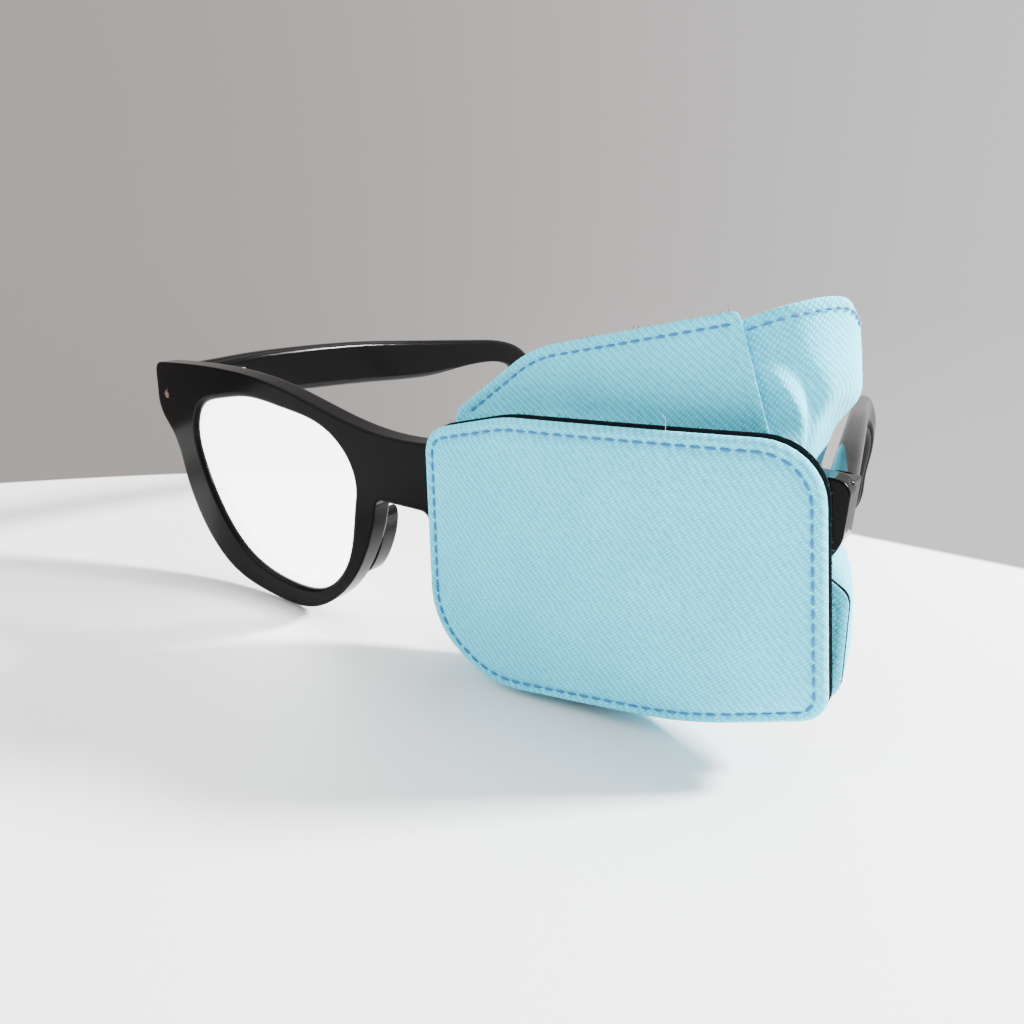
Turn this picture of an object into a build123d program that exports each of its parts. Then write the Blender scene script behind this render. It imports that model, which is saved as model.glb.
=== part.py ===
"""Pocket eye patch of felt-lined cloth, worn over the left lens of a pair of glasses.

The row frame has X to the wearer's left, Y back along the temples and Z up. The origin is on the table,
under the middle of the bridge, and every size is in millimetres.
"""

import os
from math import cos, radians, sin, sqrt, tan

from build123d import *

os.makedirs("parts", exist_ok=True)

# Driving dimensions of the glasses
FACE_RADIUS = 463.0  # curve of the frame's front, seen from above
TILT = 4.15  # degrees that the front leans forward at the top
LIFT = 0.57  # the front's base line above the table
RIM_DEPTH = 4.2
RIM_ROUND = 0.8  # inner edges of the rims
LENS_DEPTH = 1.8
LENS_SET_BACK = 1.2
LENS_GROOVE = 0.6  # how far the lens reaches into the rim
FIT_GAP = 0.03  # play between a lens or screw and what holds it
PAD_DEPTH = 8.2  # back of the nose pads behind the front's face
BUTT_Y = 11.0  # where the end pieces meet the temples
END_BOTTOM, END_TOP = 37.0, 45.5
END_WIDTH, END_DEPTH, END_ROUND = 4.6, 6.0, 0.6  # the block behind each end of the front
RIVET_X, RIVET_Z = 69.4, 38.4
RIVET_RADIUS, RIVET_HEAD, RIVET_PROUD = 0.8, (1.1, 1.9), 0.25
RIVET_HOLE_END = 8.0
TEMPLE_THICK = 4.2
TOE_IN = 9.1  # degrees that each temple closes in on the head
TEMPLE_Z = 41.3  # middle of a temple at its hinge
PITCH = {"right": 0.0, "left": -1.65}  # degrees, each temple as it has been bent in wear

# Driving dimensions of the hinges
HINGE_X, HINGE_Y = 67.0, BUTT_Y + 0.05
KNUCKLE_RADIUS, KNUCKLE_HEIGHT = 1.5, 2.0
KNUCKLE_GAP = 0.05
SCREW_RADIUS = 0.6
LEAF_THICK = 0.8
LEAF_X = HINGE_X + 1.6  # inner side of both leaves, end pieces and temples
LEAF_HEIGHT = 6.1
RECESS_ROOM = 0.5  # how far the cut for a leaf starts outside the temple
LEAF_CLEAR = 1.7  # a leaf's near end beyond the screw's axis
FRONT_LEAF, TEMPLE_LEAF = 3.6, 11.0
WEB_START = 0.4
LEAF_RIVETS = (4.0, 9.0)  # distances behind the screw
LEAF_RIVET_RADIUS, LEAF_RIVET_PROUD = 0.9, 0.25
HINGE_Z = 41.3
KNUCKLE_PITCH = KNUCKLE_HEIGHT + KNUCKLE_GAP
SCREW_HEAD_RADIUS, SCREW_HEAD, SCREW_SLOT, SCREW_CHAMFER = 1.1, 0.6, 0.3, 0.15
SCREW_END = 1.5 * KNUCKLE_PITCH  # the screw's ends above and below its middle

# Driving dimensions of the patch
CLOTH, INTERLINING, FELT = 0.9, 1.0, 1.4
BACK_FELT = 1.6
FELT_PROUD = 0.4  # the felt showing past the front's edge
TURN_IN = 1.4  # how far the cover wraps round the interlining
WALL = 0.9  # the gusset sewn between the two panels
PLAY = 0.3  # room between the frame and the pocket
HEM = 1.8  # edge to topstitch
THREAD = 0.35
BACK_DEPTH = 9.45  # the flat back panel behind the front's base line
WING_THICK = 2.0
FELT_INSET = 0.4  # the wing's felt inside the edge of its cloth
LAYER_GAP = 0.06  # between the curved layers of the wing

SLANT_Y, SLANT_Z = sin(radians(TILT)), cos(radians(TILT))
FACE = Plane(origin=(0, 0, LIFT), x_dir=(1, 0, 0), z_dir=(0, -SLANT_Z, -SLANT_Y))
PLAN = Plane(origin=(0, 0, LIFT), x_dir=(1, 0, 0), z_dir=(0, -SLANT_Y, SLANT_Z))
BACKWARD = (0, SLANT_Z, SLANT_Y)
REACH = 100.0  # longer than anything that is trimmed

# Outlines as seen from the front: x, then height above the base line
RIM_SIDE = [(73.4, 37), (72, 33.6), (68.2, 29.8), (65.3, 23), (59.4, 11.8), (50, 3.9), (36, 0.9), (23, 1.8),
            (14.6, 7.6), (8.6, 17.3), (6.3, 26.2)]
BROW = [(0, 40.2), (13, 41.6), (29, 45.2), (46, 46.7), (61, 46.1), (71.2, 45.2)]
OPENING = [(11.3, 27), (12.6, 33.8), (18, 38.8), (30, 41.4), (40, 42), (50, 40.3), (57.3, 37.2), (59.3, 32),
           (57.6, 25), (52.4, 16.2), (44, 8.6), (30, 5.1), (20.2, 6.7), (14.2, 13)]
BRIDGE_ARCH = 28.2
CORNER_ROUND = 2.2  # top corner of an end piece
PAD_CENTRE, PAD_RADII, PAD_LEAN = (10.9, 17.4), (7.6, 2.3), 20.5
FRONT_CORNERS = [((9.1, 8.8), 15), ((21.5, 0.4), 16), ((56, 3.6), 60), ((75.9, 9.8), 4.5), ((69.9, 50.6), 9.5),
                 ((22, 47.9), 25), ((7.3, 43.8), 4.5)]
BACK_CORNERS = [((8.2, 10.6), 8), ((20.3, -0.6), 8), ((40, -0.6), 30), ((76, 10.2), 4), ((75, 27), 3),
                ((62.2, 35), 3), ((61.2, 47), 4), ((53.8, 66), 1.2), ((20, 57.2), 20), ((4.8, 44.5), 3),
                ((4.8, 20), 8)]
WALL_SPAN = [(0, -3), (80, -3), (80, 13), (30, 13), (30, 26.5), (0, 26.5)]  # where the gusset runs
SEAM_SPAN = [(0, -3), (60, -3), (60, 70), (0, 70)]  # where the back is stitched
TUCK_CORNERS = [((48, 63.8), 1), ((55, 40), 1), ((62.3, 40), 1), ((62.3, 67.6), 1)]

# The wing's outer face from above, at rising heights, each row running from its crease to its free edge
WING_ROWS = [
    (12, [(70, 10), (75.2, 13.5), (74.6, 17.4), (71, 24)]),
    (24, [(68, 10), (74, 16), (73, 22.5), (68, 33)]),
    (31, [(66, 9), (70.6, 15.5), (70.2, 24), (66, 37)]),
    (36.2, [(64.4, 8), (64.4, 18), (63.6, 27), (62.5, 38)]),
    (49.5, [(64.4, 7), (64.4, 18), (63.6, 27), (62.5, 38)]),
    (57, [(64.2, 7), (65, 14.5), (65.2, 23), (63.6, 37)]),
    (71, [(63.6, 5), (64.8, 13), (65.2, 20.5), (64.6, 32)]),
]
WING_SIDE = [((12.6, 16), 2), ((17, 13), 3), ((28, 19), 10), ((36.6, 42), 12), ((29.5, 69.6), 7),
             ((10.7, 69.2), 1), ((10.7, 36.6), 4), ((12.4, 30), 4)]

# A temple's stations: distance behind the hinge, height, section height, thickness, bow, fall in degrees
TEMPLE_STATIONS = [
    (0.15, 41.2, 8.8, 4.2, 0.0, 0),
    (18, 42.7, 10.4, 4.0, 0.2, -3),
    (44, 44.1, 11.0, 3.8, 0.4, -1),
    (70, 44.6, 10.3, 3.8, 0.4, -2),
    (89, 46.0, 7.4, 3.8, 0.3, -2),
    (101, 46.1, 6.6, 4.0, 0.6, 6),
    (111, 43.9, 6.8, 4.4, 1.6, 27),
    (119, 38.2, 7.4, 5.0, 2.8, 45),
    (127, 27.8, 8.0, 5.2, 2.6, 57),
    (133, 17.3, 7.8, 4.8, 1.8, 61),
    (137, 10.0, 7.0, 4.2, 1.0, 63),
    (140, 4.75, 4.2, 2.4, 0.4, 65),
]
TEMPLE_SECTIONS = 25
TEMPLE_ROUND = 0.36  # corner radius over thickness
SIDES = {"right": -1, "left": 1}


def save(part, name):
    """Label a finished piece and write it as its own file."""
    part.label = name
    export_step(part, f"parts/{name}.step")


def curved_layer(near, far):
    """What lies between two depths behind the front's curved face, as a face seen from above."""
    near_end = FACE_RADIUS - sqrt((FACE_RADIUS - near) ** 2 - REACH**2)
    far_end = FACE_RADIUS - sqrt((FACE_RADIUS - far) ** 2 - REACH**2)
    with BuildSketch(PLAN) as layer:
        with BuildLine():
            ThreePointArc((-REACH, near_end), (0, near), (REACH, near_end))
            Line((REACH, near_end), (REACH, far_end))
            ThreePointArc((REACH, far_end), (0, far), (-REACH, far_end))
            Line((-REACH, far_end), (-REACH, near_end))
        make_face()
    return layer.sketch


def rounded_outline(corners, plane=FACE, inset=0.0, line=0.0):
    """A closed outline with round corners, drawn in by an inset, or only a line of some width along it."""
    with BuildSketch(plane) as outline:
        with BuildLine():
            points = [point for point, _ in corners]
            FilletPolyline(*points, radius=[radius for _, radius in corners], close=True)
        make_face()
        if inset:
            offset(amount=-inset, mode=Mode.REPLACE)
        if line:
            offset(amount=-line, mode=Mode.SUBTRACT)
    return outline.sketch


def curved_panel(outline, near, far):
    """An outline given the front's curve between two depths behind its face."""
    with BuildPart() as panel:
        extrude(outline, amount=REACH, both=True)
        extrude(curved_layer(near, far), amount=REACH, both=True, mode=Mode.INTERSECT)
    return panel.part


def flat_panel(outline, near, far):
    """An outline cut from a flat layer between two depths behind the front's base line."""
    with BuildPart() as panel:
        extrude(outline, amount=far, dir=BACKWARD)
        extrude(outline, amount=near, dir=BACKWARD, mode=Mode.SUBTRACT)
    return panel.part


def grown(points, amount):
    """A closed run of points, each moved outwards across the line between its neighbours."""
    moved = []
    for index, point in enumerate(points):
        along = Vector(points[(index + 1) % len(points)]) - Vector(points[index - 1])
        outwards = Vector(-along.Y, along.X).normalized()
        moved.append(Vector(point) + outwards * amount)
    return moved


def opening_outline(side, grow=0.0):
    """One lens opening, grown by the depth of its groove."""
    with BuildSketch(FACE) as outline:
        with BuildLine():
            Spline(*[(side * point.X, point.Y) for point in grown(OPENING, grow)], periodic=True)
        make_face()
    return outline.sketch


def front_outline():
    """The whole frame front, the same on both sides of the bridge."""
    with BuildSketch(FACE) as outline:
        with BuildLine() as half:
            brow = Spline(*BROW, tangents=[(1, 0), (1, -0.1)])
            corner = (RIM_SIDE[0][0], BROW[-1][1] - CORNER_ROUND)
            TangentArc(brow @ 1, corner, tangent=brow % 1)
            Line(corner, RIM_SIDE[0])
            Spline(*RIM_SIDE)
            arch_start = (RIM_SIDE[-1][0] - BRIDGE_ARCH + RIM_SIDE[-1][1], BRIDGE_ARCH)
            TangentArc(RIM_SIDE[-1], arch_start, tangent=(0, 1))
            Line(arch_start, (0, BRIDGE_ARCH))
            Line((0, BRIDGE_ARCH), BROW[0])
        make_face()
        mirror(about=Plane.YZ)
    return outline.sketch


# Hinges: three knuckles on a screw, the outer two on the front's leaf and the middle one on the temple's
def hinge_leaf(side, direction, length, levels, toe_in):
    """One leaf on the inner side of an end piece or temple, running back or forward from its knuckles."""
    lean = -direction * length * tan(radians(toe_in))
    start_y, end_y = HINGE_Y + direction * LEAF_CLEAR, HINGE_Y + direction * length
    with BuildPart() as plate:
        with BuildSketch(Plane.XY.offset(HINGE_Z - LEAF_HEIGHT / 2)):
            with BuildLine():
                Polyline(
                    (side * LEAF_X, start_y),
                    (side * (LEAF_X + lean), end_y),
                    (side * (LEAF_X + LEAF_THICK + lean), end_y),
                    (side * (LEAF_X + LEAF_THICK), start_y),
                    close=True,
                )
            make_face()
        extrude(amount=LEAF_HEIGHT)
        for level in levels:
            with BuildSketch(Plane.XY.offset(HINGE_Z + level * KNUCKLE_PITCH - KNUCKLE_HEIGHT / 2)):
                with Locations((side * HINGE_X, HINGE_Y)):
                    Circle(KNUCKLE_RADIUS)
                with BuildLine():
                    Polyline(
                        (side * HINGE_X, HINGE_Y + direction * WEB_START),
                        (side * (LEAF_X + LEAF_THICK / 2), HINGE_Y + direction * WEB_START),
                        (side * (LEAF_X + LEAF_THICK / 2), start_y + direction * WEB_START),
                        (side * (HINGE_X + WEB_START), start_y),
                        close=True,
                    )
                make_face()
                with Locations((side * HINGE_X, HINGE_Y)):
                    Circle(SCREW_RADIUS + FIT_GAP, mode=Mode.SUBTRACT)
            extrude(amount=KNUCKLE_HEIGHT)
    return plate.part


# The glasses' front: rims, bridge and end pieces in one moulding
with BuildPart() as groove_tool:
    for side in SIDES.values():
        extrude(opening_outline(side, LENS_GROOVE + FIT_GAP), amount=REACH, both=True)
    extrude(curved_layer(LENS_SET_BACK - FIT_GAP, LENS_SET_BACK + LENS_DEPTH + FIT_GAP), amount=REACH,
            both=True, mode=Mode.INTERSECT)

with BuildPart() as rivet_holes:
    for side in SIDES.values():
        with BuildSketch(FACE.offset(-RIVET_HOLE_END)):
            with Locations((side * RIVET_X, RIVET_Z)):
                Circle(RIVET_RADIUS + FIT_GAP)
        extrude(amount=REACH)

with BuildPart() as frame_front:
    extrude(front_outline(), amount=REACH, both=True)
    extrude(curved_layer(0, RIM_DEPTH), amount=REACH, both=True, mode=Mode.INTERSECT)
    for side in SIDES.values():
        extrude(opening_outline(side), amount=REACH, both=True, mode=Mode.SUBTRACT)
    rims = frame_front.faces().filter_by(GeomType.CYLINDER).sort_by(SortBy.AREA)[-2:]
    fillet([wire.edges() for face in rims for wire in face.inner_wires()], radius=RIM_ROUND)
    add(groove_tool.part, mode=Mode.SUBTRACT)
    with BuildSketch(Plane.XY.offset(END_BOTTOM)):
        for side in SIDES.values():
            with Locations((side * (LEAF_X + END_WIDTH / 2), BUTT_Y - END_DEPTH / 2)):
                RectangleRounded(END_WIDTH, END_DEPTH, END_ROUND)
    extrude(amount=END_TOP - END_BOTTOM)
    add(rivet_holes.part, mode=Mode.SUBTRACT)
    for name, side in SIDES.items():
        front_leaf = hinge_leaf(side, -1, FRONT_LEAF, (-1, 1), 0)
        save(front_leaf, f"hinge_front_{name}")
        add(front_leaf, mode=Mode.SUBTRACT)
save(frame_front.part, "frame_front")

for name, side in SIDES.items():
    with BuildPart() as lens:
        extrude(opening_outline(side, LENS_GROOVE), amount=REACH, both=True)
        extrude(curved_layer(LENS_SET_BACK, LENS_SET_BACK + LENS_DEPTH), amount=REACH, both=True,
                mode=Mode.INTERSECT)
    save(lens.part, f"lens_{name}")

    with BuildPart() as nose_pad:
        with BuildSketch(FACE):
            with Locations((side * PAD_CENTRE[0], PAD_CENTRE[1])):
                Ellipse(*PAD_RADII, rotation=90 + side * PAD_LEAN)
        extrude(amount=REACH, both=True)
        extrude(curved_layer(RIM_DEPTH + FIT_GAP, PAD_DEPTH), amount=REACH, both=True, mode=Mode.INTERSECT)
    save(nose_pad.part, f"nose_pad_{name}")

    with BuildPart() as front_rivet:
        with BuildSketch(FACE.offset(FIT_GAP - RIVET_HOLE_END)):
            with Locations((side * RIVET_X, RIVET_Z)):
                Circle(RIVET_RADIUS)
        extrude(amount=REACH)
        with BuildSketch(FACE):
            with Locations((side * RIVET_X, RIVET_Z)):
                Ellipse(*RIVET_HEAD)
        extrude(amount=REACH)
        extrude(curved_layer(-RIVET_PROUD, REACH / 2), amount=REACH, both=True, mode=Mode.INTERSECT)
        add(frame_front.part, mode=Mode.SUBTRACT)
    save(front_rivet.part, f"front_rivet_{name}")


for name, side in SIDES.items():
    save(hinge_leaf(side, 1, TEMPLE_LEAF, (0,), TOE_IN), f"hinge_temple_{name}")

    with BuildPart() as screw:
        with BuildSketch(Plane.XY.offset(HINGE_Z - SCREW_END)):
            with Locations((side * HINGE_X, HINGE_Y)):
                Circle(SCREW_RADIUS)
        extrude(amount=2 * SCREW_END)
        with BuildSketch(Plane.XY.offset(HINGE_Z + SCREW_END)):
            with Locations((side * HINGE_X, HINGE_Y)):
                Circle(SCREW_HEAD_RADIUS)
        extrude(amount=SCREW_HEAD)
        chamfer(screw.faces().sort_by(Axis.Z)[-1].edges(), length=SCREW_CHAMFER)
        with BuildSketch(Plane.XY.offset(HINGE_Z + SCREW_END + SCREW_HEAD)):
            with Locations((side * HINGE_X, HINGE_Y)):
                Rectangle(2 * SCREW_HEAD_RADIUS, SCREW_SLOT)
        extrude(amount=-SCREW_SLOT, mode=Mode.SUBTRACT)
    save(screw.part, f"hinge_screw_{name}")


def leaf_recess(side):
    """The pocket in a temple's inner face that its hinge leaf lies in."""
    near_y, far_y = BUTT_Y - RECESS_ROOM, HINGE_Y + TEMPLE_LEAF + FIT_GAP
    lean = -TEMPLE_LEAF * tan(radians(TOE_IN))
    depth = LEAF_THICK + FIT_GAP
    with BuildPart() as recess:
        with BuildSketch(Plane.XY.offset(HINGE_Z - LEAF_HEIGHT / 2 - FIT_GAP)):
            with BuildLine():
                Polyline(
                    (side * (LEAF_X - RECESS_ROOM), near_y),
                    (side * (LEAF_X + lean - RECESS_ROOM), far_y),
                    (side * (LEAF_X + lean + depth), far_y),
                    (side * (LEAF_X + depth), HINGE_Y + LEAF_CLEAR),
                    (side * (LEAF_X + depth), near_y),
                    close=True,
                )
            make_face()
        extrude(amount=LEAF_HEIGHT + 2 * FIT_GAP)
    return recess.part


# Temples: straight arms that narrow to the bend and widen again in the ear hook
def station_at(back):
    """Every measure of the temple at one distance behind its hinge, smoothly between the stations."""
    rows = TEMPLE_STATIONS
    last = max(index for index in range(len(rows) - 1) if rows[index][0] <= back)
    start, end = rows[last], rows[last + 1]
    before, after = rows[max(last - 1, 0)], rows[min(last + 2, len(rows) - 1)]
    span = end[0] - start[0]
    share = (back - start[0]) / span
    measures = []
    for column in range(1, len(start)):
        leave = (end[column] - before[column]) / (end[0] - before[0]) * span
        arrive = (after[column] - start[column]) / (after[0] - start[0]) * span
        step = start[column] - end[column]
        bend = 2 * step + leave + arrive
        measures.append(start[column] + share * (leave + share * (share * bend - 3 * step - 2 * leave - arrive)))
    return back, *measures


def temple_station(side, name, station):
    """The plane across a temple at one station, and the size of its section there."""
    back, height, tall, thick, bow, fall = station
    lower = (back * sin(radians(PITCH[name])), cos(radians(PITCH[name])))
    z = TEMPLE_Z + lower[0] + (height - TEMPLE_Z) * lower[1]
    y = BUTT_Y + back
    x = LEAF_X + TEMPLE_THICK / 2 - back * tan(radians(TOE_IN)) + bow
    dip = radians(fall - PITCH[name])
    heading = Vector(-side * sin(radians(TOE_IN)) * cos(dip), cos(radians(TOE_IN)) * cos(dip), -sin(dip))
    if back < 1:
        heading = Vector(0, 1, 0)
    across = Vector(side * cos(radians(TOE_IN)), sin(radians(TOE_IN)), 0) if back >= 1 else Vector(side, 0, 0)
    return Plane(origin=(side * x, y, z), x_dir=across, z_dir=heading), thick, tall


for name, side in SIDES.items():
    with BuildPart() as temple:
        first, last = TEMPLE_STATIONS[0][0], TEMPLE_STATIONS[-1][0]
        for section in range(TEMPLE_SECTIONS):
            back = first + (last - first) * section / (TEMPLE_SECTIONS - 1)
            plane, thick, tall = temple_station(side, name, station_at(back))
            with BuildSketch(plane):
                RectangleRounded(thick, tall, thick * TEMPLE_ROUND)
        loft()
        add(leaf_recess(side), mode=Mode.SUBTRACT)
    save(temple.part, f"temple_{name}")

    lean = Vector(-side * cos(radians(TOE_IN)), -sin(radians(TOE_IN)), 0)
    with BuildPart() as temple_rivets:
        for back in LEAF_RIVETS:
            x = side * (LEAF_X - back * tan(radians(TOE_IN)))
            with BuildSketch(Plane(origin=(x, HINGE_Y + back, HINGE_Z), z_dir=lean)):
                Circle(LEAF_RIVET_RADIUS)
            extrude(amount=LEAF_RIVET_PROUD)
    save(temple_rivets.part, f"temple_rivets_{name}")

# The patch's front: felt against the glasses, an interlining, and a cover turned in round its edge
front_felt = curved_panel(rounded_outline(FRONT_CORNERS, inset=-FELT_PROUD), -PLAY - FELT, -PLAY)
save(front_felt, "front_felt")

lining_depth = PLAY + FELT
cover_depth = lining_depth + INTERLINING
front_interlining = curved_panel(rounded_outline(FRONT_CORNERS, inset=TURN_IN), -cover_depth, -lining_depth)
save(front_interlining, "front_interlining")

with BuildPart() as front_cover:
    add(curved_panel(rounded_outline(FRONT_CORNERS), -cover_depth - CLOTH, -lining_depth))
    add(front_interlining, mode=Mode.SUBTRACT)
save(front_cover.part, "front_cover")

front_seam = rounded_outline(FRONT_CORNERS, inset=HEM, line=THREAD)
save(curved_panel(front_seam, -cover_depth - CLOTH - THREAD, -cover_depth - CLOTH), "front_topstitch")

# The gusset that joins the two panels along the nose side, the bottom and the lower corner
with BuildSketch(FACE) as wall_span:
    with BuildLine():
        Polyline(*WALL_SPAN, close=True)
    make_face()
with BuildPart() as pocket_wall:
    extrude(rounded_outline(BACK_CORNERS, line=WALL), amount=BACK_DEPTH, dir=BACKWARD)
    extrude(rounded_outline(BACK_CORNERS, line=WALL), amount=-PLAY, dir=BACKWARD)
    extrude(curved_layer(-PLAY, REACH / 2), amount=REACH, both=True, mode=Mode.INTERSECT)
    extrude(wall_span.sketch, amount=REACH, both=True, mode=Mode.INTERSECT)
save(pocket_wall.part, "pocket_wall")

# The flat back: its cloth, the tuck of the pleat behind the cloth's edge, and the felt against the face
back_layer = BACK_DEPTH + CLOTH
tuck_cloth = flat_panel(rounded_outline(TUCK_CORNERS), back_layer, back_layer + CLOTH)
save(tuck_cloth, "tuck_cloth")
save(flat_panel(rounded_outline(BACK_CORNERS), BACK_DEPTH, back_layer), "back_cover")
with BuildPart() as back_felt:
    add(flat_panel(rounded_outline(BACK_CORNERS), back_layer, back_layer + BACK_FELT))
    add(tuck_cloth, mode=Mode.SUBTRACT)
save(back_felt.part, "back_felt")
back_seam = rounded_outline(BACK_CORNERS, inset=HEM, line=THREAD)
with BuildSketch(FACE) as seam_span:
    with BuildLine():
        Polyline(*SEAM_SPAN, close=True)
    make_face()
with BuildPart() as back_topstitch:
    add(flat_panel(back_seam, BACK_DEPTH - THREAD, BACK_DEPTH))
    extrude(seam_span.sketch, amount=REACH, both=True, mode=Mode.INTERSECT)
save(back_topstitch.part, "back_topstitch")


# The side wing, sewn to the back along its crease and lying along the inside of the temple
def wing_layer(near, far, outline):
    """The wing between two depths inside its outer face, trimmed to a side outline."""
    with BuildPart() as layer:
        for height, row in WING_ROWS:
            outer = inside_of(row, near)
            inner = inside_of(row, far)
            with BuildSketch(Plane.XY.offset(height)):
                with BuildLine():
                    Spline(*outer)
                    Line(outer[-1], inner[-1])
                    Spline(*reversed(inner))
                    Line(inner[0], outer[0])
                make_face()
        loft(ruled=True)
        extrude(outline, amount=REACH, dir=(1, 0, 0), mode=Mode.INTERSECT)
    return layer.part


def inside_of(row, depth):
    """An open run of points, each moved by a depth towards the inner side."""
    moved = []
    for index, point in enumerate(row):
        before, after = row[max(index - 1, 0)], row[min(index + 1, len(row) - 1)]
        along = (Vector(after) - Vector(before)).normalized()
        moved.append((point[0] - along.Y * depth, point[1] + along.X * depth))
    return moved


wing_outline = rounded_outline(WING_SIDE, Plane.YZ)
save(wing_layer(0, CLOTH, wing_outline), "wing_cover")
save(wing_layer(CLOTH + LAYER_GAP, WING_THICK, rounded_outline(WING_SIDE, Plane.YZ, inset=FELT_INSET)), "wing_felt")
wing_seam = rounded_outline(WING_SIDE, Plane.YZ, inset=HEM, line=THREAD)
save(wing_layer(-THREAD - LAYER_GAP, -LAYER_GAP, wing_seam), "wing_topstitch")
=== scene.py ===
"""Pocket eye patch on a pair of glasses: cloth, felt and stitches over the CAD frame, in metres."""
from math import cos, exp, pi, radians, sin, sqrt
from random import Random

import bpy
import numpy as np
from mathutils import Matrix, Vector


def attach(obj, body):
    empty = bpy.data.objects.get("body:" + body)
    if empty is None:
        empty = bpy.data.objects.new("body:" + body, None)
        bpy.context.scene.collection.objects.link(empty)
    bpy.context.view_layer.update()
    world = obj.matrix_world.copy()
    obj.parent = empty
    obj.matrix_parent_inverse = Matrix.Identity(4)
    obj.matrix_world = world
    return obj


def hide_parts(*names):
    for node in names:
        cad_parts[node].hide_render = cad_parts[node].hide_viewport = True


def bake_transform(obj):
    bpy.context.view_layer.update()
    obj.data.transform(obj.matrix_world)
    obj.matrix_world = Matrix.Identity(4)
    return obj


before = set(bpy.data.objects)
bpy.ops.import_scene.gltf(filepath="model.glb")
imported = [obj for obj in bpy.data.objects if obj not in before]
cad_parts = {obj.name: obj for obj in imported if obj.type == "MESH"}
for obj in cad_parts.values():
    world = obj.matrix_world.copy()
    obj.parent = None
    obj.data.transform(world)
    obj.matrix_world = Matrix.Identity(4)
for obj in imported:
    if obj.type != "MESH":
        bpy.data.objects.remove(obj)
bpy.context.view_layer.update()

MM = 0.001

# The same measures as the CAD, in millimetres
FACE_RADIUS = 463.0
TILT = radians(4.15)
LIFT = 0.57
FRONT_CORNERS = [((9.1, 8.8), 15), ((21.5, 0.4), 16), ((56, 3.6), 60), ((75.9, 9.8), 4.5),
                 ((69.9, 50.6), 9.5), ((22, 47.9), 25), ((7.3, 43.8), 4.5)]
BACK_CORNERS = [((8.2, 10.6), 8), ((20.3, -0.6), 8), ((40, -0.6), 30), ((76, 10.2), 4), ((75, 27), 3),
                ((62.2, 35), 3), ((61.2, 47), 4), ((53.8, 66), 1.2), ((20, 57.2), 20), ((4.8, 44.5), 3),
                ((4.8, 20), 8)]
# The gusset's line round the pocket, seen from the front
GUSSET = [(7.4, 26), (7.8, 20), (10.8, 11.2), (15.4, 5.6), (21.0, 1.9), (28, 1.1), (38, 1.6), (46, 2.9),
          (58, 6.0), (66, 8.5), (71.5, 10.4), (72.6, 12)]
# The side cloth from above: height, then points from its start behind the back panel to its free edge
WING_ROWS = [
    (12.5, [(73.5, 8), (75.2, 8.6), (75.6, 10), (75, 12), (73.6, 14)]),
    (20, [(72, 8.4), (74.8, 9.2), (75.4, 14), (73.2, 20), (70.6, 25)]),
    (30, [(66, 9), (70.5, 9.6), (72.9, 13.5), (71.6, 22), (67.8, 31.5)]),
    (36.5, [(58, 8.6), (62.8, 9), (64.3, 13), (64.2, 22), (63.0, 34)]),
    (49, [(55, 7.6), (61, 8.0), (64.3, 13.5), (64.5, 22), (63.8, 35)]),
    (56, [(52, 7.2), (58.4, 7.5), (64.3, 12.8), (67.5, 22.5), (67.3, 33.5)]),
    (62, [(49, 6.6), (55.6, 6.9), (62.6, 11.6), (66.8, 21.5), (67.2, 31)]),
    (68.5, [(46, 5.9), (53, 6.1), (60.4, 10), (65.6, 18.5), (66.6, 27)]),
]
WING_LENGTH = 36.0  # along the side cloth from its start to its free edge
# Height of the side cloth's top edge, from its start to its free edge
WING_TOP = [61.0, 65.2, 68.6, 69.9, 66.0]
CLOTH = 0.9
# Depths of the sewn layers behind the front's face: the front panel's are negative, as it lies before it
FRONT_FACE, FRONT_FELT, FRONT_INSIDE = -3.6, -1.0, -0.35
BACK_FACE, BACK_FELT, BACK_END = 9.3, 10.3, 11.9
STITCH_PITCH, STITCH_LENGTH, STITCH_RADIUS = 2.1, 1.7, 0.24
STITCH_SINK = 0.3  # share of the thread's radius below the cloth
FRONT_DITCH, BACK_DITCH = 0.35, 0.32  # how deep the thread lies in its seam
HEM = 1.8
RINGS, RING_STEP = 36, 0.0046  # of a panel's mesh, closer together towards its edge


# ---------------------------------------------------------------- shapes in the plane
def arc_outline(corners, step=0.6):
    """A closed outline with round corners as evenly spaced points."""
    corners_out = []
    count = len(corners)
    for index, (point, radius) in enumerate(corners):
        here = Vector(point)
        to_before = (Vector(corners[index - 1][0]) - here).normalized()
        to_after = (Vector(corners[(index + 1) % count][0]) - here).normalized()
        half = to_before.angle(to_after) / 2
        reach = radius / (sin(half) / cos(half))
        centre = here + (to_before + to_after).normalized() * radius / sin(half)
        start, end = here + to_before * reach - centre, here + to_after * reach - centre
        for share in range(9):
            corners_out.append(centre + start.slerp(end, share / 8).normalized() * radius)
    return evenly(corners_out, step, closed=True)


def evenly(points, step, closed=False):
    """Points at even steps along a run of points."""
    points = [Vector(point) for point in points]
    if closed:
        points.append(points[0])
    lengths = [0.0]
    for before, after in zip(points, points[1:]):
        lengths.append(lengths[-1] + (after - before).length)
    count = max(2, round(lengths[-1] / step))
    spaced = []
    segment = 0
    for index in range(count if closed else count + 1):
        along = lengths[-1] * index / count
        while segment < len(points) - 2 and lengths[segment + 1] < along:
            segment += 1
        span = max(lengths[segment + 1] - lengths[segment], 1e-9)
        spaced.append(points[segment].lerp(points[segment + 1], (along - lengths[segment]) / span))
    return spaced


def drawn_in(outline, amount):
    """A closed outline moved inwards; the outline runs anticlockwise."""
    moved = []
    count = len(outline)
    for index, point in enumerate(outline):
        along = (outline[(index + 2) % count] - outline[index - 2]).normalized()
        moved.append(point + Vector((-along.y, along.x)) * amount)
    return moved


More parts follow.
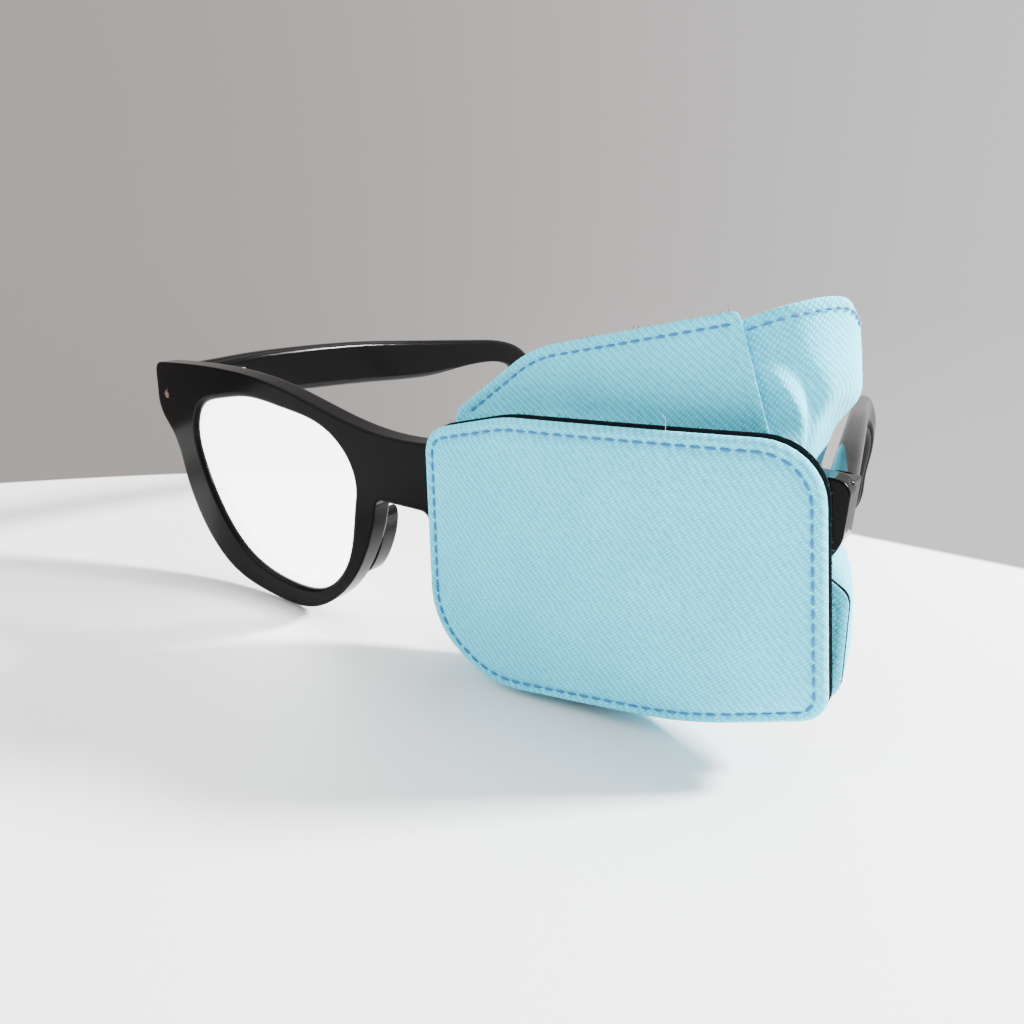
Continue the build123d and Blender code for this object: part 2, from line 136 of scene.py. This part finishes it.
def through(points, share):
    """A point on the smooth curve through a run of points, at a share of the way along."""
    position = share * (len(points) - 1)
    start = min(int(position), len(points) - 2)
    part = position - start
    before = points[max(start - 1, 0)]
    here, there = points[start], points[start + 1]
    after = points[min(start + 2, len(points) - 1)]
    found = []
    for a, b, c, d in zip(before, here, there, after):
        cubic = 3 * (b - c) + d - a
        square = 2 * a - 5 * b + 4 * c - d
        found.append(b + 0.5 * part * (c - a + part * (square + part * cubic)))
    return found


# ---------------------------------------------------------------- places in the row frame
def tilted(x, up, depth):
    """The row frame's place of a point given in the leaning frame of the glasses' front, in metres."""
    y = depth * cos(TILT) - up * sin(TILT)
    z = LIFT + up * cos(TILT) + depth * sin(TILT)
    return Vector((x, y, z)) * MM


def on_front(x, up, depth):
    """As tilted, with the depth measured from the front's curved face."""
    return tilted(x, up, depth + FACE_RADIUS - sqrt(FACE_RADIUS**2 - x * x))


def add_mesh(name, vertices, faces, material, weave=None):
    """A mesh object in the scene, in the row frame, with weave places in millimetres if it is cloth."""
    mesh = bpy.data.meshes.new(name)
    mesh.from_pydata([tuple(vertex) for vertex in vertices], [], faces)
    if weave:
        layer = mesh.uv_layers.new(name="weave")
        for corner, loop in zip(layer.data, mesh.loops):
            corner.uv = weave[loop.vertex_index]
    mesh.validate()
    mesh.update()
    mesh.materials.append(material)
    mesh.shade_smooth()
    piece = bpy.data.objects.new(name, mesh)
    bpy.context.scene.collection.objects.link(piece)
    return piece


# ---------------------------------------------------------------- materials
def new_material(name, colour, roughness):
    material = bpy.data.materials.new(name)
    material.use_nodes = True
    shader = material.node_tree.nodes["Principled BSDF"]
    shader.inputs["Base Color"].default_value = (*colour, 1)
    shader.inputs["Roughness"].default_value = roughness
    return material, material.node_tree.nodes, material.node_tree.links, shader


def cloth_material(name, colour, dark, lean):
    """Fine twill: raised diagonal lines, broken up along their length, with a soft sheen."""
    material, nodes, links, shader = new_material(name, colour, 0.85)
    shader.inputs["Sheen Weight"].default_value = 0.12
    shader.inputs["Sheen Roughness"].default_value = 0.5
    shader.inputs["Specular IOR Level"].default_value = 0.2
    place = nodes.new("ShaderNodeTexCoord")
    turn = nodes.new("ShaderNodeMapping")
    turn.inputs["Rotation"].default_value = (0, 0, lean)
    links.new(place.outputs["UV"], turn.inputs["Vector"])
    warp = nodes.new("ShaderNodeTexWave")
    warp.wave_type = "BANDS"
    warp.bands_direction = "X"
    warp.inputs["Scale"].default_value = TWILL_LINES
    warp.inputs["Distortion"].default_value = 0.9
    warp.inputs["Detail"].default_value = 1.0
    warp.inputs["Detail Scale"].default_value = 1.5
    links.new(turn.outputs["Vector"], warp.inputs["Vector"])
    weft = nodes.new("ShaderNodeTexWave")
    weft.wave_type = "BANDS"
    weft.bands_direction = "Y"
    weft.inputs["Scale"].default_value = TWILL_LINES * 0.55
    weft.inputs["Distortion"].default_value = 3.0
    weft.inputs["Detail"].default_value = 1.0
    links.new(turn.outputs["Vector"], weft.inputs["Vector"])
    weave = nodes.new("ShaderNodeMath")
    weave.operation = "MULTIPLY"
    links.new(warp.outputs["Fac"], weave.inputs[0])
    links.new(weft.outputs["Fac"], weave.inputs[1])
    slub = nodes.new("ShaderNodeTexNoise")
    slub.inputs["Scale"].default_value = 1.1
    slub.inputs["Detail"].default_value = 3.0
    links.new(place.outputs["UV"], slub.inputs["Vector"])
    cloud = nodes.new("ShaderNodeTexNoise")
    cloud.inputs["Scale"].default_value = 90.0
    cloud.inputs["Detail"].default_value = 2.0
    links.new(place.outputs["Object"], cloud.inputs["Vector"])
    height = nodes.new("ShaderNodeMath")
    height.operation = "MULTIPLY_ADD"
    height.inputs[1].default_value = 0.75
    links.new(slub.outputs["Fac"], height.inputs[0])
    links.new(weave.outputs["Value"], height.inputs[2])
    shade = nodes.new("ShaderNodeMapRange")
    shade.inputs["From Min"].default_value = 0.25
    shade.inputs["From Max"].default_value = 0.95
    links.new(height.outputs["Value"], shade.inputs["Value"])
    mix = nodes.new("ShaderNodeMix")
    mix.data_type = "RGBA"
    mix.inputs["A"].default_value = (*dark, 1)
    mix.inputs["B"].default_value = (*colour, 1)
    links.new(shade.outputs["Result"], mix.inputs["Factor"])
    soft = nodes.new("ShaderNodeMapRange")
    soft.inputs["From Min"].default_value = 0.3
    soft.inputs["From Max"].default_value = 0.7
    soft.inputs["To Min"].default_value = 0.94
    soft.inputs["To Max"].default_value = 1.04
    links.new(cloud.outputs["Fac"], soft.inputs["Value"])
    tone = nodes.new("ShaderNodeVectorMath")
    tone.operation = "SCALE"
    links.new(mix.outputs["Result"], tone.inputs[0])
    links.new(soft.outputs["Result"], tone.inputs["Scale"])
    links.new(tone.outputs["Vector"], shader.inputs["Base Color"])
    bump = nodes.new("ShaderNodeBump")
    bump.inputs["Strength"].default_value = 0.55
    bump.inputs["Distance"].default_value = 0.12 * MM
    links.new(height.outputs["Value"], bump.inputs["Height"])
    links.new(bump.outputs["Normal"], shader.inputs["Normal"])
    return material


def rough_material(name, colour, roughness, scale, depth, sheen=0.0):
    """An even colour with a fine uneven surface: felt, thread or worn metal."""
    material, nodes, links, shader = new_material(name, colour, roughness)
    shader.inputs["Sheen Weight"].default_value = sheen
    place = nodes.new("ShaderNodeTexCoord")
    grain = nodes.new("ShaderNodeTexNoise")
    grain.inputs["Scale"].default_value = scale
    grain.inputs["Detail"].default_value = 5.0
    links.new(place.outputs["Object"], grain.inputs["Vector"])
    bump = nodes.new("ShaderNodeBump")
    bump.inputs["Strength"].default_value = 0.8
    bump.inputs["Distance"].default_value = depth * MM
    links.new(grain.outputs["Fac"], bump.inputs["Height"])
    links.new(bump.outputs["Normal"], shader.inputs["Normal"])
    return material


def acetate_material(name, colour, edge_round):
    """Polished black plastic with faint wear in its gloss and edges that catch the light."""
    material, nodes, links, shader = new_material(name, colour, 0.14)
    shader.inputs["Specular IOR Level"].default_value = 0.05
    place = nodes.new("ShaderNodeTexCoord")
    wear = nodes.new("ShaderNodeTexNoise")
    wear.inputs["Scale"].default_value = 60.0
    wear.inputs["Detail"].default_value = 6.0
    links.new(place.outputs["Object"], wear.inputs["Vector"])
    gloss = nodes.new("ShaderNodeMapRange")
    gloss.inputs["To Min"].default_value = 0.06
    gloss.inputs["To Max"].default_value = 0.16
    links.new(wear.outputs["Fac"], gloss.inputs["Value"])
    links.new(gloss.outputs["Result"], shader.inputs["Roughness"])
    rounding = nodes.new("ShaderNodeBevel")
    rounding.samples = 8
    rounding.inputs["Radius"].default_value = edge_round * MM
    links.new(rounding.outputs["Normal"], shader.inputs["Normal"])
    return material


def lens_material(name):
    """Clear lens: seen through, with a thin reflection that grows at a glance, and a painted white glow mixed
    into half of what is seen through it.
    """
    material, nodes, links, shader = new_material(name, (0.97, 0.99, 0.99), 0.02)
    clear = nodes.new("ShaderNodeBsdfTransparent")
    clear.inputs["Color"].default_value = (0.97, 0.985, 0.98, 1)
    shine = nodes.new("ShaderNodeBsdfGlossy")
    shine.inputs["Roughness"].default_value = 0.03
    angle = nodes.new("ShaderNodeFresnel")
    angle.inputs["IOR"].default_value = 1.5
    side = nodes.new("ShaderNodeNewGeometry")
    outer = nodes.new("ShaderNodeMath")
    outer.operation = "SUBTRACT"
    outer.use_clamp = True
    links.new(angle.outputs["Fac"], outer.inputs[0])
    links.new(side.outputs["Backfacing"], outer.inputs[1])
    # Painted light: a white glow, though the lens is no lamp, mixed half and half with the see-through part
    # so the lens shows brighter than what lies behind it.
    painted_glow = nodes.new("ShaderNodeEmission")
    painted_glow.inputs["Color"].default_value = (1, 1, 1, 1)
    painted_glow.inputs["Strength"].default_value = 9.0
    clear_with_painted_glow = nodes.new("ShaderNodeMixShader")
    clear_with_painted_glow.inputs["Fac"].default_value = 0.5
    links.new(clear.outputs["BSDF"], clear_with_painted_glow.inputs[1])
    links.new(painted_glow.outputs["Emission"], clear_with_painted_glow.inputs[2])
    mix = nodes.new("ShaderNodeMixShader")
    links.new(outer.outputs["Value"], mix.inputs["Fac"])
    links.new(clear_with_painted_glow.outputs["Shader"], mix.inputs[1])
    links.new(shine.outputs["BSDF"], mix.inputs[2])
    links.new(mix.outputs["Shader"], nodes["Material Output"].inputs["Surface"])
    nodes.remove(shader)
    return material


TWILL_LINES = 0.62  # bands to a millimetre, as the wave texture counts them
SKY = (0.12, 0.80, 0.96)
SKY_DARK = (0.01, 0.48, 0.72)
twill = cloth_material("twill", SKY, SKY_DARK, radians(48))
twill_back = cloth_material("twill_back", SKY, SKY_DARK, radians(35))
twill_side = cloth_material("twill_side", SKY, SKY_DARK, radians(40))
felt = rough_material("felt", (0.006, 0.006, 0.007), 1.0, 1500.0, 0.25, sheen=0.04)
felt.node_tree.nodes["Principled BSDF"].inputs["Specular IOR Level"].default_value = 0.1
thread = rough_material("thread", (0.01, 0.17, 0.42), 0.8, 3000.0, 0.05, sheen=0.2)
fibre = rough_material("fibre", (0.02, 0.02, 0.022), 0.9, 3000.0, 0.02)
lint = rough_material("lint", (0.8, 0.82, 0.84), 0.9, 3000.0, 0.02)
acetate = acetate_material("acetate", (0.003, 0.0028, 0.003), 0.7)
pad_acetate = acetate_material("pad_acetate", (0.004, 0.004, 0.004), 0.4)
clear_lens = lens_material("clear_lens")
steel = rough_material("steel", (0.30, 0.29, 0.28), 0.38, 1200.0, 0.02)
steel.node_tree.nodes["Principled BSDF"].inputs["Metallic"].default_value = 1.0
rivet = rough_material("rivet", (0.16, 0.09, 0.08), 0.5, 900.0, 0.03)
rivet.node_tree.nodes["Principled BSDF"].inputs["Metallic"].default_value = 0.8

CAD_LOOKS = {"frame_front": acetate, "temple": acetate, "nose_pad": pad_acetate, "lens": clear_lens,
             "hinge": steel, "front_rivet": rivet}
for node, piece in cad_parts.items():
    for start, material in CAD_LOOKS.items():
        if node.startswith(start):
            piece.data.materials.clear()
            piece.data.materials.append(rivet if node.startswith("temple_rivets") else material)


# ---------------------------------------------------------------- soft panels
def panel(name, corners, place, near, far, material, crown=0.0, seam=0.0, edge=0.45, seed=1):
    """A sewn panel: round edges, a shallow ditch along its seam and a slight crown between its faces."""
    outline = arc_outline(corners)
    middle = sum(outline, Vector((0, 0))) / len(outline)
    thick = far - near
    edge_points = np.array([tuple(point) for point in outline])
    edge_next = np.roll(edge_points, -1, axis=0)

    def to_edge(point):
        """Distance from a point to the outline."""
        spot = np.array(tuple(point))
        run = edge_next - edge_points
        share = np.clip(((spot - edge_points) * run).sum(1) / (run * run).sum(1), 0, 1)
        return float(np.sqrt((((edge_points + run * share[:, None]) - spot) ** 2).sum(1)).min())

    shares = [1 - step**1.5 * RING_STEP for step in range(RINGS)]
    rings = [[middle + (point - middle) * share for point in outline] for share in shares]
    rings = [[(to_edge(point), point) for point in ring] for ring in rings]
    draw = Random(seed)
    swells = []
    for _ in range(5):
        swells.append((draw.uniform(0.05, 0.22), draw.uniform(0.05, 0.22), draw.uniform(0, 2 * pi)))

    def face_depth(inset, point):
        round_off = max(0.0, 1 - inset / 1.1) ** 2.2 * thick * edge
        ditch = seam * max(0.0, 1 - abs(inset - HEM) / 1.1) ** 1.5
        inwards = min(1.0, max(0.0, inset - HEM) / 12)
        rise = crown * inwards * (2 - inwards)
        wave = sum(sin(a * point.x + b * point.y + c) for a, b, c in swells) * 0.035 * min(1.0, inset / 4)
        return round_off + ditch - rise - wave

    vertices, faces, weave = [], [], []
    count = len(outline)

    def add_point(point, depth):
        vertices.append(place(point.x, point.y, depth))
        weave.append((point.x, point.y))

    for ring in rings:
        for inset, point in ring:
            add_point(point, near + face_depth(inset, point))
    for ring in range(len(rings) - 1):
        for index in range(count):
            after = (index + 1) % count
            a, b = ring * count + index, ring * count + after
            faces.append((a, b, b + count, a + count))
    add_point(middle, near + face_depth(30.0, middle))
    centre = len(vertices) - 1
    start = (len(rings) - 1) * count
    faces += [(start + index, start + (index + 1) % count, centre) for index in range(count)]
    back_start = len(vertices)
    back_rings = [(0.0, 0.55), (0.25, 0.85), (0.9, 1.0)]
    for inset, share in back_rings:
        for point in drawn_in(outline, inset):
            add_point(point, near + thick * share)
    for index in range(count):
        after = (index + 1) % count
        faces.append((after, index, back_start + index, back_start + after))
    for ring in range(len(back_rings) - 1):
        for index in range(count):
            after = (index + 1) % count
            a, b = back_start + ring * count + index, back_start + ring * count + after
            faces.append((b, a, a + count, b + count))
    last_start = back_start + (len(back_rings) - 1) * count
    add_point(middle, near + thick)
    for index in range(count):
        faces.append((last_start + (index + 1) % count, last_start + index, len(vertices) - 1))
    return add_mesh(name, vertices, faces, material, weave=weave)


def stitches(name, path, material):
    """A row of thread stitches along a run of (place, outward direction) pairs, in metres."""
    points = [point for point, _ in path]
    vertices, faces = [], []
    travelled, wanted = 0.0, 0.0
    sides, ends = 6, 5
    for index in range(1, len(points)):
        step = (points[index] - points[index - 1]).length
        travelled += step
        if travelled < wanted:
            continue
        wanted += STITCH_PITCH * MM
        outward = path[index][1]
        along = (points[min(index + 1, len(points) - 1)] - points[index - 1]).normalized()
        beside = along.cross(outward).normalized()
        up = beside.cross(along)
        if up.dot(outward) < 0:
            up = -up
        base = len(vertices)
        for ring in range(ends + 1):
            angle = pi * ring / ends
            size = max(0.12, sin(angle)) * STITCH_RADIUS * MM
            centre = points[index] - along * cos(angle) * STITCH_LENGTH / 2 * MM
            centre += up * STITCH_RADIUS * (sin(angle) - STITCH_SINK) * MM
            for side in range(sides):
                turn = 2 * pi * side / sides
                vertices.append(centre + beside * cos(turn) * size + up * sin(turn) * size)
        for ring in range(ends):
            for side in range(sides):
                after = (side + 1) % sides
                a, b = base + ring * sides + side, base + ring * sides + after
                faces.append((a, b, b + sides, a + sides))
        faces.append(tuple(base + side for side in reversed(range(sides))))
        faces.append(tuple(base + ends * sides + side for side in range(sides)))
    return add_mesh(name, vertices, faces, material)


def fibres(name, places, count, length, material, seed):
    """Loose fibres standing off a felt edge, each a thin bent hair."""
    draw = Random(seed)
    curve = bpy.data.curves.new(name, "CURVE")
    curve.dimensions = "3D"
    curve.bevel_depth = 0.035 * MM
    curve.bevel_resolution = 1
    for _ in range(count):
        start, outward = draw.choice(places)
        reach = draw.uniform(0.3, 1.0) * length * MM
        lean = Vector([draw.uniform(-1, 1) for _ in range(3)])
        bend = Vector([draw.uniform(-1, 1) for _ in range(3)])
        tip = start + (outward + lean * 0.8).normalized() * reach
        half = start.lerp(tip, 0.5) + bend * reach * 0.3
        spline = curve.splines.new("POLY")
        spline.points.add(2)
        for point, spot in zip(spline.points, (start, half, tip)):
            point.co = (*spot, 1)
    curve.materials.append(material)
    piece = bpy.data.objects.new(name, curve)
    bpy.context.scene.collection.objects.link(piece)
    return piece


# Front of the pocket: cover over its interlining, and the felt showing round its edge
front = panel("front_cloth", FRONT_CORNERS, on_front, FRONT_FACE, FRONT_FELT, twill,
              crown=0.6, seam=0.55, seed=4)
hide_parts("front_cover", "front_interlining")
FELT_CORNERS = [((x + (0.1 if x > 60 else 0.6), up + (0.4 if up > 40 else 0.5)), radius)
                for (x, up), radius in FRONT_CORNERS]
front_lining = panel("front_lining", FELT_CORNERS, on_front, FRONT_FELT, FRONT_INSIDE, felt, edge=0.3, seed=6)
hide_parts("front_felt")
back = panel("back_cloth", BACK_CORNERS, tilted, BACK_FACE, BACK_FELT, twill_back,
             crown=0.25, seam=0.42, seed=8)
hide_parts("back_cover", "tuck_cloth")
LINING_CORNERS = [((x - (1.6 if x > 50 and up > 30 else 0), up - (0.7 if up > 50 else 0)), radius)
                  for (x, up), radius in BACK_CORNERS]
back_lining = panel("back_lining", LINING_CORNERS, tilted, BACK_FELT, BACK_END, felt, edge=0.3, seed=9)
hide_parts("back_felt")

FORWARD = Vector((0, -cos(TILT), -sin(TILT)))
front_line = drawn_in(arc_outline(FRONT_CORNERS, 0.3), HEM)
front_path = [(on_front(point.x, point.y, FRONT_FACE + FRONT_DITCH), FORWARD) for point in front_line]
front_seam = stitches("front_stitches", front_path, thread)
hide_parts("front_topstitch")
back_line = drawn_in(arc_outline(BACK_CORNERS, 0.3), HEM)
back_path = []
for before, point in zip(back_line, back_line[1:]):
    runs_along_top = point.y > 40 and before.x - point.x > 0.2
    if runs_along_top:
        back_path.append((tilted(point.x, point.y, BACK_FACE + BACK_DITCH), FORWARD))
back_seam = stitches("back_stitches", back_path, thread)
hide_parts("back_topstitch")

# The gusset round the nose side and the bottom, a little full between its two seams
gusset_line = evenly([through(GUSSET, share / 60) for share in range(61)], 1.0)
GUSSET_DEPTHS = [(-1.6, 0.2), (-1.0, -0.25), (0.5, -0.55), (3, -0.8), (6, -0.7), (8.4, -0.35), (9.6, 0.1)]
GUSSET_THICK = 0.8
vertices, faces, weave = [], [], []
for inner in (0.0, GUSSET_THICK):
    for index, point in enumerate(gusset_line):
        ahead, behind = gusset_line[min(index + 1, len(gusset_line) - 1)], gusset_line[max(index - 1, 0)]
        along = (ahead - behind).normalized()
        inward = Vector((-along.y, along.x))
        for depth, bulge in GUSSET_DEPTHS:
            spot = point + inward * (bulge * 0.6 + inner + 0.25)
            spot.y = max(spot.y, -LIFT + 0.02 - depth * sin(TILT) + inner)
            curved = spot.x**2 / FACE_RADIUS / 2 if depth < 2 else 0
            vertices.append(tilted(spot.x, spot.y, depth + curved))
            weave.append((index, depth))
columns, rows = len(GUSSET_DEPTHS), len(gusset_line)
sheet_size = columns * rows
for index in range(rows - 1):
    for column in range(columns - 1):
        a = index * columns + column
        faces.append((a, a + 1, a + columns + 1, a + columns))
        b = a + sheet_size
        faces.append((b + columns, b + columns + 1, b + 1, b))
for column in range(columns - 1):
    for base in (0, (rows - 1) * columns):
        a = base + column
        faces.append((a, a + 1, a + 1 + sheet_size, a + sheet_size))
for index in range(rows - 1):
    for base in (0, columns - 1):
        a = index * columns + base
        faces.append((a, a + columns, a + columns + sheet_size, a + sheet_size))
gusset = add_mesh("gusset_cloth", vertices, faces, twill_side, weave=weave)
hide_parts("pocket_wall")


# ---------------------------------------------------------------- the side wing
def wing_point(share, rise):
    """The side cloth's outer face at a share of the way along it and of the way up it."""
    level = []
    bottom, full = WING_ROWS[0][0], WING_ROWS[-1][0] - WING_ROWS[0][0]
    top = through([(height,) for height in WING_TOP], share)[0]
    for height, row in WING_ROWS:
        x, y = through(row, share)
        level.append((x, y, bottom + (height - bottom) * (top - bottom) / full))
    return through(level, rise)


def wing_sheet(name, near, far, material, shares, rises):
    """The wing between two depths inside its outer face."""
    vertices, faces, weave = [], [], []
    wide, tall = len(shares), len(rises)
    for depth in (near, far):
        for rise in rises:
            for share in shares:
                here = Vector(wing_point(share, rise))
                ahead, behind = wing_point(min(share + 0.01, 1), rise), wing_point(max(share - 0.01, 0), rise)
                along = Vector(ahead) - Vector(behind)
                inward = Vector((-along.y, along.x, 0)).normalized()
                edge = min(share, 1 - share, rise, 1 - rise)
                pinch = (1 - min(1.0, edge / 0.02)) * 0.3 * (far - near)
                soft = depth + (pinch if depth == near else -pinch)
                vertices.append((here + inward * (soft + wing_fold(share, rise))) * MM)
                weave.append((share * WING_LENGTH, here.z))
    layer = wide * tall
    for row in range(tall - 1):
        for column in range(wide - 1):
            a = row * wide + column
            faces.append((a, a + 1, a + wide + 1, a + wide))
            b = a + layer
            faces.append((b + wide, b + wide + 1, b + 1, b))
    rim = list(range(wide))
    rim += [row * wide + wide - 1 for row in range(1, tall)]
    rim += [(tall - 1) * wide + column for column in range(wide - 2, -1, -1)]
    rim += [row * wide for row in range(tall - 2, 0, -1)]
    for a, b in zip(rim, rim[1:] + rim[:1]):
        faces.append((b, a, a + layer, b + layer))
    return add_mesh(name, vertices, faces, material, weave=weave)


def wing_fold(share, rise):
    """Soft folds in the side cloth: a ridge beside the pleat, and a hollow beyond it."""
    crest = 0.27 + 0.55 * (0.93 - rise)
    ridge = -1.0 * bell(share - crest, 0.05) * bell(rise - 0.74, 0.15)
    hollow = 1.5 * bell(share - crest - 0.11, 0.07) * bell(rise - 0.66, 0.16)
    return ridge + hollow


def bell(offset, width):
    """A smooth rise to one and back."""
    return exp(-((offset / width) ** 2))


WING_SHARES = [index / 90 for index in range(91)]
WING_RISES = [index / 110 for index in range(111)]
wing = wing_sheet("wing_cloth", 0, CLOTH, twill_side, WING_SHARES, WING_RISES)
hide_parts("wing_cover")
LINING_SHARES = [0.12 + 0.865 * index / 60 for index in range(61)]
LINING_RISES = [0.015 + 0.97 * index / 80 for index in range(81)]
LINING_GAP, WING_THICK = 0.05, 2.1
wing_lining = wing_sheet("wing_lining", CLOTH + LINING_GAP, WING_THICK, felt, LINING_SHARES, LINING_RISES)
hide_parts("wing_felt")

wing_path = []
SEAM_RISE = 0.955  # the topstitch below the side cloth's top edge
for step in range(241):
    share, rise = 0.14 + 0.78 * step / 240, SEAM_RISE
    here = Vector(wing_point(share, rise))
    ahead = Vector(wing_point(min(share + 0.01, 1), rise)) - here
    outward = Vector((ahead.y, -ahead.x, 0)).normalized()
    wing_path.append(((here + outward * (0.05 - wing_fold(share, rise))) * MM, outward))
wing_seam = stitches("wing_stitches", wing_path, thread)
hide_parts("wing_topstitch")

# Fibres off the felt edges
felt_edge = []
for point in arc_outline(FELT_CORNERS, 0.4):
    outward = (point - Vector((42, 25))).normalized()
    if point.y > 40 or point.x > 60:
        way = (tilted(outward.x, outward.y, -0.5) - tilted(0, 0, 0)).normalized()
        felt_edge.append((on_front(point.x, point.y, -1.2), way))
front_fuzz = fibres("front_fuzz", felt_edge, 150, 0.8, fibre, 11)
upward = Vector((0, 0, 1))
back_edge = [(tilted(point.x, point.y, 10.9), upward) for point in arc_outline(BACK_CORNERS, 0.4)
             if point.y > 44]
back_fuzz = fibres("back_fuzz", back_edge, 40, 0.5, fibre, 12)
stray = fibres("stray_lint", [(on_front(48, 49.2, -1.6), Vector((0.2, -0.4, 0.8)))], 1, 3.5, lint, 3)

for piece in (front, front_lining, back, back_lining, front_seam, back_seam, gusset,
              front_fuzz, back_fuzz, stray):
    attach(piece, "patch")
for piece in (wing, wing_lining, wing_seam):
    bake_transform(piece)


# ---------------------------------------------------------------- floor, lights and camera
def shade_of_wall(nodes, links, direction, colour):
    """The wall behind, darker to the left and paler to the right, by the direction looked in."""
    unit = nodes.new("ShaderNodeVectorMath")
    unit.operation = "NORMALIZE"
    links.new(direction, unit.inputs[0])
    parts = nodes.new("ShaderNodeSeparateXYZ")
    links.new(unit.outputs["Vector"], parts.inputs["Vector"])
    share = nodes.new("ShaderNodeMapRange")
    share.interpolation_type = "SMOOTHSTEP"
    share.inputs["From Min"].default_value = -0.95
    share.inputs["From Max"].default_value = 0.25
    links.new(parts.outputs["X"], share.inputs["Value"])
    mix = nodes.new("ShaderNodeMix")
    mix.data_type = "RGBA"
    mix.inputs["A"].default_value = (*WALL_DARK, 1)
    mix.inputs["B"].default_value = (*WALL_PALE, 1)
    links.new(share.outputs["Result"], mix.inputs["Factor"])
    links.new(mix.outputs["Result"], colour)


def table_material(name, pale, glow):
    """A pale table top with a rounded far corner, and the wall's colour beyond its edge."""
    material, nodes, links, shader = new_material(name, pale, 0.45)
    place = nodes.new("ShaderNodeNewGeometry")
    parts = nodes.new("ShaderNodeSeparateXYZ")
    links.new(place.outputs["Position"], parts.inputs["Vector"])

    def step(operation, value, number):
        node = nodes.new("ShaderNodeMath")
        node.operation = operation
        links.new(value, node.inputs[0])
        if isinstance(number, float):
            node.inputs[1].default_value = number
        else:
            links.new(number, node.inputs[1])
        return node.outputs["Value"]

    across = step("SUBTRACT", parts.outputs["X"], EDGE_MIDDLE)
    squared = step("MULTIPLY", across, across)
    curve = step("MULTIPLY", step("MULTIPLY", squared, squared), EDGE_CURVE)
    beyond = step("SUBTRACT", step("ADD", parts.outputs["Y"], curve), EDGE_FAR)
    fade = nodes.new("ShaderNodeMapRange")
    fade.interpolation_type = "SMOOTHSTEP"
    fade.inputs["From Min"].default_value = -0.002
    fade.inputs["From Max"].default_value = 0.003
    links.new(beyond, fade.inputs["Value"])
    beyond_it = nodes.new("ShaderNodeEmission")
    beyond_it.inputs["Strength"].default_value = glow
    shade_of_wall(nodes, links, place.outputs["Position"], beyond_it.inputs["Color"])
    mix = nodes.new("ShaderNodeMixShader")
    links.new(fade.outputs["Result"], mix.inputs["Fac"])
    links.new(shader.outputs["BSDF"], mix.inputs[1])
    links.new(beyond_it.outputs["Emission"], mix.inputs[2])
    links.new(mix.outputs["Shader"], nodes["Material Output"].inputs["Surface"])
    return material


WALL_DARK, WALL_PALE = (0.36, 0.335, 0.315), (0.74, 0.73, 0.73)
WORLD_STRENGTH = 1.35
# The table's far edge: y = far - curve (x - middle)^4
EDGE_MIDDLE, EDGE_FAR, EDGE_CURVE = 0.098, 0.153, 31.0
floor_material = table_material("table", (0.93, 0.93, 0.92), WORLD_STRENGTH)
bpy.ops.mesh.primitive_plane_add(size=6, location=(0, 0.5, 0))
floor = bpy.context.object
floor.name = "floor"
floor.data.materials.append(floor_material)

world = bpy.data.worlds.new("world")
bpy.context.scene.world = world
world.use_nodes = True
sky = world.node_tree.nodes["Background"]
sky.inputs["Strength"].default_value = WORLD_STRENGTH
looked_in = world.node_tree.nodes.new("ShaderNodeTexCoord")
looking = looked_in.outputs["Generated"]
shade_of_wall(world.node_tree.nodes, world.node_tree.links, looking, sky.inputs["Color"])


def area_light(name, place, aim, size, power, colour=(1, 1, 1)):
    """A square soft light aimed at a point."""
    light = bpy.data.lights.new(name, "AREA")
    light.size = size
    light.energy = power
    light.color = colour
    piece = bpy.data.objects.new(name, light)
    piece.location = place
    piece.rotation_euler = (Vector(aim) - Vector(place)).to_track_quat("-Z", "Y").to_euler()
    bpy.context.scene.collection.objects.link(piece)


area_light("key", (0.46, 0.40, 0.40), (0.03, 0.02, 0.03), 0.10, 30.0)
area_light("fill", (-0.35, -0.45, 0.45), (0.02, 0, 0.03), 0.45, 4.0)
area_light("top", (0.05, 0.25, 0.60), (0.02, 0.02, 0.02), 0.50, 4.0)

CAMERA_PLACE = Vector((0.0922, -0.1183, 0.06987))
CAMERA_TARGET = Vector((0.02182, 0, 0.03165))
CAMERA_UP = Vector((-0.198, 0.192, 0.961))
camera_data = bpy.data.cameras.new("camera")
camera_data.lens = 30.11
camera_data.sensor_width = 36
camera_data.clip_start = 0.005
camera = bpy.data.objects.new("camera", camera_data)
bpy.context.scene.collection.objects.link(camera)
back_axis = (CAMERA_PLACE - CAMERA_TARGET).normalized()
right_axis = CAMERA_UP.cross(back_axis).normalized()
up_axis = back_axis.cross(right_axis)
turned = Matrix((right_axis, up_axis, back_axis)).transposed().to_4x4()
camera.matrix_world = Matrix.Translation(CAMERA_PLACE) @ turned
bpy.context.scene.camera = camera
